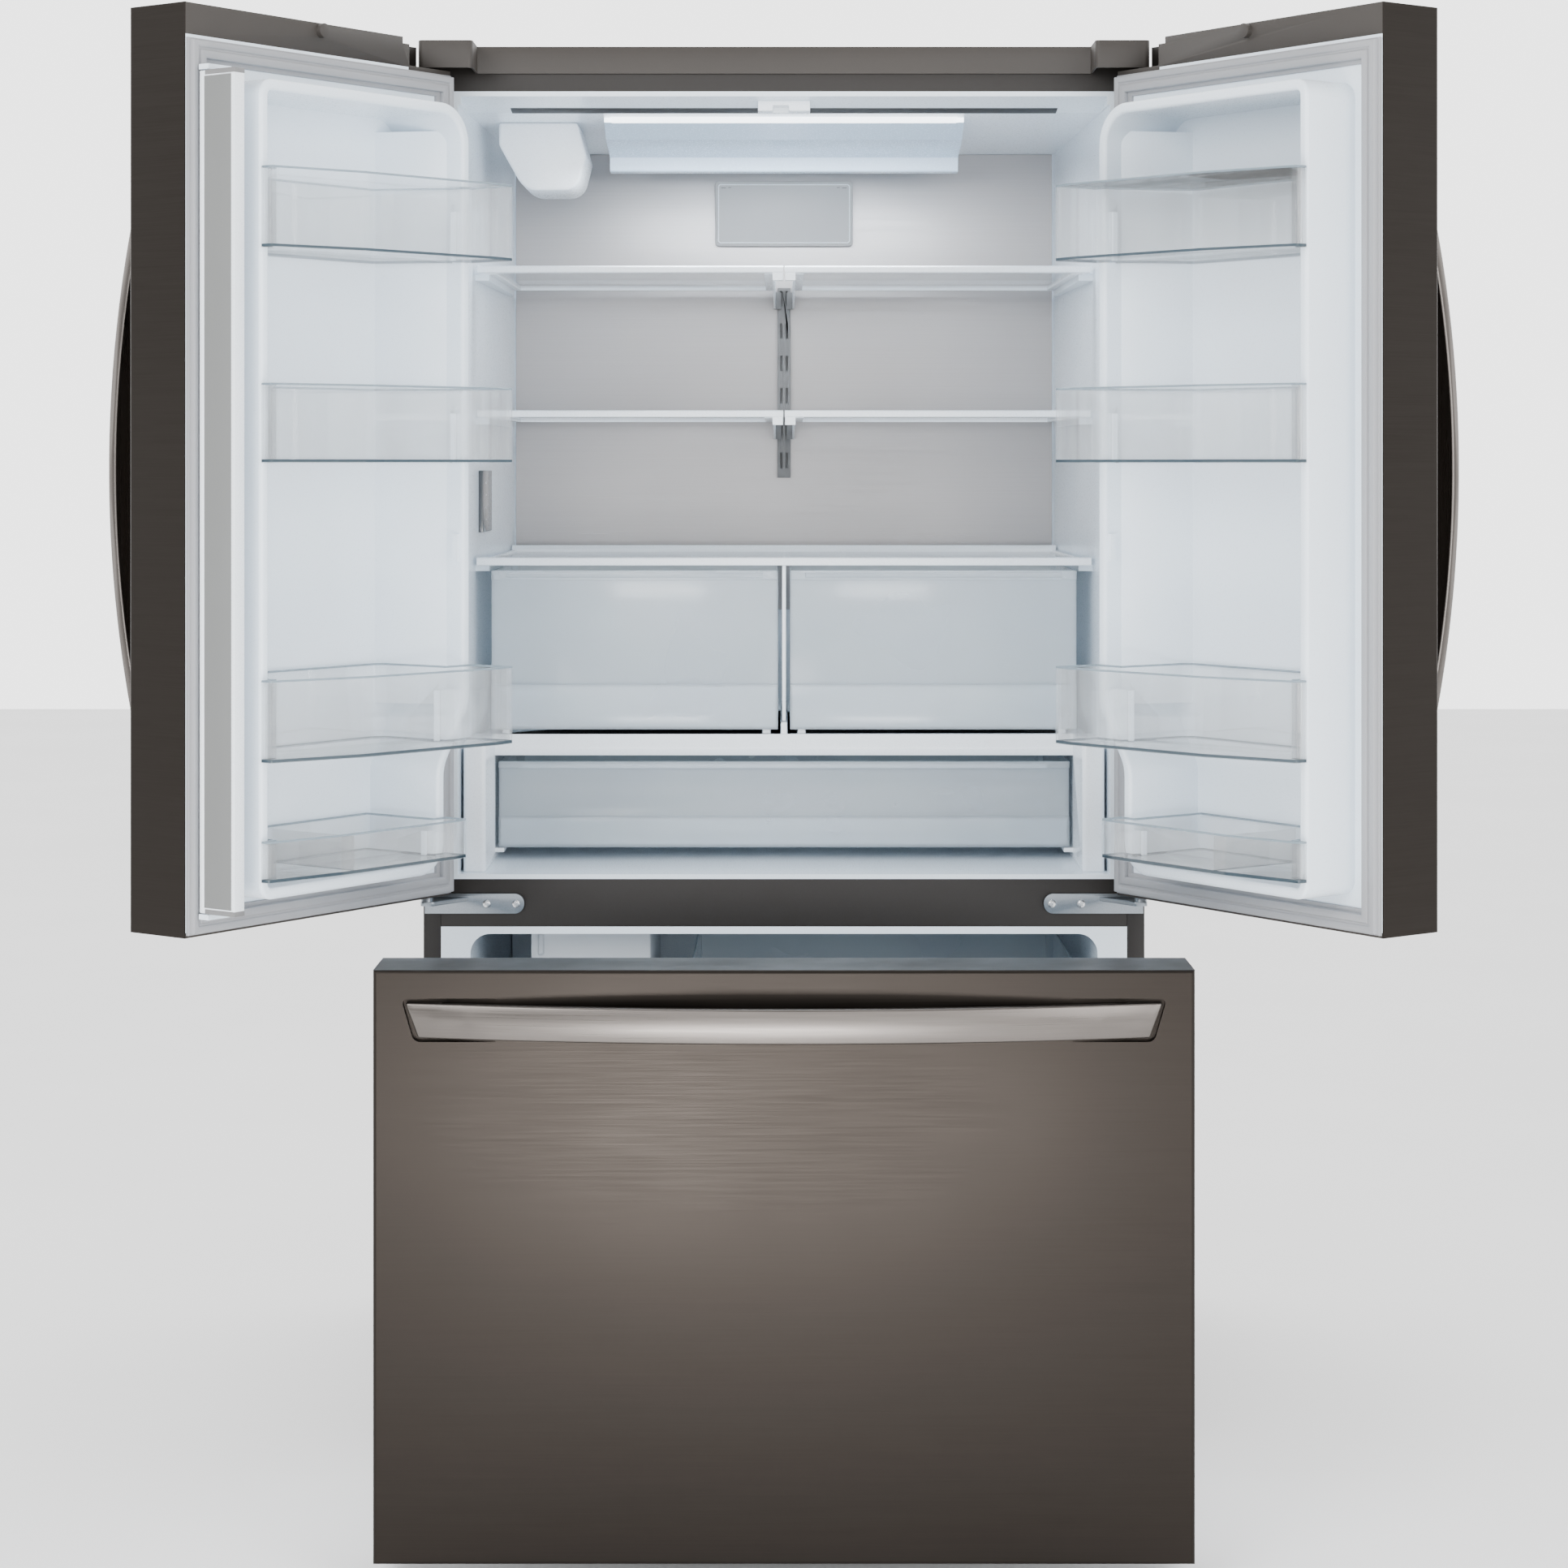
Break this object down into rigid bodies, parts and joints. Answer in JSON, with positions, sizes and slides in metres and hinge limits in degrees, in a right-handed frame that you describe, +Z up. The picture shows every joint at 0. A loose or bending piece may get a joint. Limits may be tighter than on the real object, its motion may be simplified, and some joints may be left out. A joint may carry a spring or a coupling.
{
  "type": "french door refrigerator",
  "caption": "Tall kitchen refrigerator with paired swinging upper doors, glass shelves, clear door bins and drawers, and a pull-out freezer drawer below.",
  "frame": {"origin": "middle of the footprint of the bounding box, on the floor, with the doors open and the freezer drawer out", "axes": "+Z up, +X to the viewer's right seen from the front, +Y towards the back"},
  "size_m": [1.5704, 1.2839, 1.762],
  "materials": {
    "painted_case": "satin warm dark grey paint",
    "black_stainless": "brushed dark warm-grey stainless with a satin coat",
    "dark_plastic": "matte dark warm grey",
    "zinc_steel": "bright zinc plate",
    "galvanised": "plain zinc-coated sheet",
    "white_liner": "smooth white food liner",
    "white_trim": "smooth white",
    "back_steel": "fine horizontal brush",
    "grey_plastic": "matte dark grey",
    "light_grey": "matte light grey",
    "shelf_glass": "clear toughened glass",
    "clear_plastic": "clear moulded plastic",
    "soft_gasket": "soft light grey",
    "light_lens": "milky lens",
    "black_gloss": "dark glossy panel",
    "foam": "rigid foam",
    "black_paint": "black enamel",
    "coil_metal": "bare tube and fins",
    "foot_plastic": "matte black",
    "handle_steel": "brushed dark warm-grey stainless"
  },
  "bodies": {
    "cabinet": {"outer_case": "painted_case", "base_frame": "galvanised", "leveling_legs": "foot_plastic", "center_rail": "painted_case", "fridge_liner": "white_liner", "freezer_liner": "white_liner", "insulation_foam": "foam", "hinge_brackets": "zinc_steel", "hinge_screws": "zinc_steel", "top_cover": "dark_plastic", "mullion_guide": "white_trim", "metal_back_panel": "back_steel", "air_filter_cover": "light_grey", "shelf_ladder": "grey_plastic", "shelf_frames": "white_trim", "crisper_cover_frame": "white_trim", "shelf_glass": "shelf_glass", "pantry_housing": "white_trim", "ceiling_light": "light_lens", "water_filter": "white_trim", "control_panel": "black_gloss", "ice_maker": "light_grey", "evaporator_cover": "white_trim", "refrigerant_coils": "coil_metal", "compressor_and_fan_motor": "black_paint", "water_inlet_valve": "light_grey", "machine_cover": "galvanised", "freezer_rails_outer": "zinc_steel"},
    "left_door": {"left_door_skin": "black_stainless", "left_door_caps": "dark_plastic", "left_door_liner": "white_liner", "left_door_gasket": "soft_gasket", "left_door_handle": "handle_steel"},
    "right_door": {"right_door_skin": "black_stainless", "right_door_caps": "dark_plastic", "right_door_liner": "white_liner", "right_door_gasket": "soft_gasket", "right_door_handle": "handle_steel"},
    "door_mullion": {"door_mullion": "light_grey"},
    "freezer_drawer": {"freezer_front_skin": "black_stainless", "freezer_front_liner": "white_liner", "freezer_gasket": "soft_gasket", "freezer_handle": "handle_steel", "freezer_basket": "light_grey", "freezer_rails_inner": "zinc_steel"},
    "freezer_rails_mid": {"freezer_rails_mid": "zinc_steel"},
    "freezer_tray": {"freezer_tray": "clear_plastic"},
    "crisper_left": {"crisper_left": "clear_plastic"},
    "crisper_right": {"crisper_right": "clear_plastic"},
    "pantry_drawer": {"pantry_drawer": "clear_plastic"},
    "condenser_fan": {"condenser_fan": "foot_plastic"},
    "rear_rollers": {"rear_rollers": "foot_plastic"},
    "left_bin_top": {"left_bin_top": "clear_plastic"},
    "left_bin_middle": {"left_bin_middle": "clear_plastic"},
    "left_bin_lower": {"left_bin_lower": "clear_plastic"},
    "left_bin_bottom": {"left_bin_bottom": "clear_plastic"},
    "right_bin_top": {"right_bin_top": "clear_plastic"},
    "right_bin_middle": {"right_bin_middle": "clear_plastic"},
    "right_bin_lower": {"right_bin_lower": "clear_plastic"},
    "right_bin_bottom": {"right_bin_bottom": "clear_plastic"}
  },
  "joints": [
    {"name": "left_door_hinge", "type": "hinge", "parent": "cabinet", "child": "left_door", "pos_m": [-0.446, -0.136, 1.23], "axis": [0, 0, -1], "range_deg": [-125, 5]},
    {"name": "right_door_hinge", "type": "hinge", "parent": "cabinet", "child": "right_door", "pos_m": [0.446, -0.136, 1.23], "axis": [0, 0, 1], "range_deg": [-125, 5]},
    {"name": "mullion_fold", "type": "hinge", "parent": "left_door", "child": "door_mullion", "pos_m": [-0.64861, -0.51647, 1.2055], "axis": [0, 0, -1], "range_deg": [0, 90]},
    {"name": "freezer_drawer_slide", "type": "slide", "parent": "cabinet", "child": "freezer_drawer", "axis": [0, -1, 0], "range_m": [-0.403, 0.045]},
    {"name": "freezer_rails_mid_slide", "type": "slide", "parent": "cabinet", "child": "freezer_rails_mid", "axis": [0, -1, 0], "range_m": [-0.202, 0.023]},
    {"name": "freezer_tray_slide", "type": "slide", "parent": "cabinet", "child": "freezer_tray", "axis": [0, -1, 0], "range_m": [0, 0.25]},
    {"name": "crisper_left_slide", "type": "slide", "parent": "cabinet", "child": "crisper_left", "axis": [0, -1, 0], "range_m": [0, 0.25]},
    {"name": "crisper_right_slide", "type": "slide", "parent": "cabinet", "child": "crisper_right", "axis": [0, -1, 0], "range_m": [0, 0.25]},
    {"name": "pantry_drawer_slide", "type": "slide", "parent": "cabinet", "child": "pantry_drawer", "axis": [0, -1, 0], "range_m": [0, 0.25]},
    {"name": "left_bin_top_lift", "type": "slide", "parent": "left_door", "child": "left_bin_top", "axis": [0, 0, 1], "range_m": [0, 0.05]},
    {"name": "left_bin_middle_lift", "type": "slide", "parent": "left_door", "child": "left_bin_middle", "axis": [0, 0, 1], "range_m": [0, 0.05]},
    {"name": "left_bin_lower_lift", "type": "slide", "parent": "left_door", "child": "left_bin_lower", "axis": [0, 0, 1], "range_m": [0, 0.05]},
    {"name": "left_bin_bottom_lift", "type": "slide", "parent": "left_door", "child": "left_bin_bottom", "axis": [0, 0, 1], "range_m": [0, 0.05]},
    {"name": "right_bin_top_lift", "type": "slide", "parent": "right_door", "child": "right_bin_top", "axis": [0, 0, 1], "range_m": [0, 0.05]},
    {"name": "right_bin_middle_lift", "type": "slide", "parent": "right_door", "child": "right_bin_middle", "axis": [0, 0, 1], "range_m": [0, 0.05]},
    {"name": "right_bin_lower_lift", "type": "slide", "parent": "right_door", "child": "right_bin_lower", "axis": [0, 0, 1], "range_m": [0, 0.05]},
    {"name": "right_bin_bottom_lift", "type": "slide", "parent": "right_door", "child": "right_bin_bottom", "axis": [0, 0, 1], "range_m": [0, 0.05]},
    {"name": "condenser_fan_spin", "type": "hinge", "parent": "cabinet", "child": "condenser_fan", "pos_m": [-0.06, 0.549, 0.142], "axis": [0, 1, 0], "continuous": true},
    {"name": "rear_rollers_spin", "type": "hinge", "parent": "cabinet", "child": "rear_rollers", "pos_m": [0, 0.559, 0.022], "axis": [1, 0, 0], "continuous": true}
  ],
  "couplings": [
    {"joint": "freezer_rails_mid_slide", "follows": "freezer_drawer_slide", "ratio": 0.5}
  ]
}
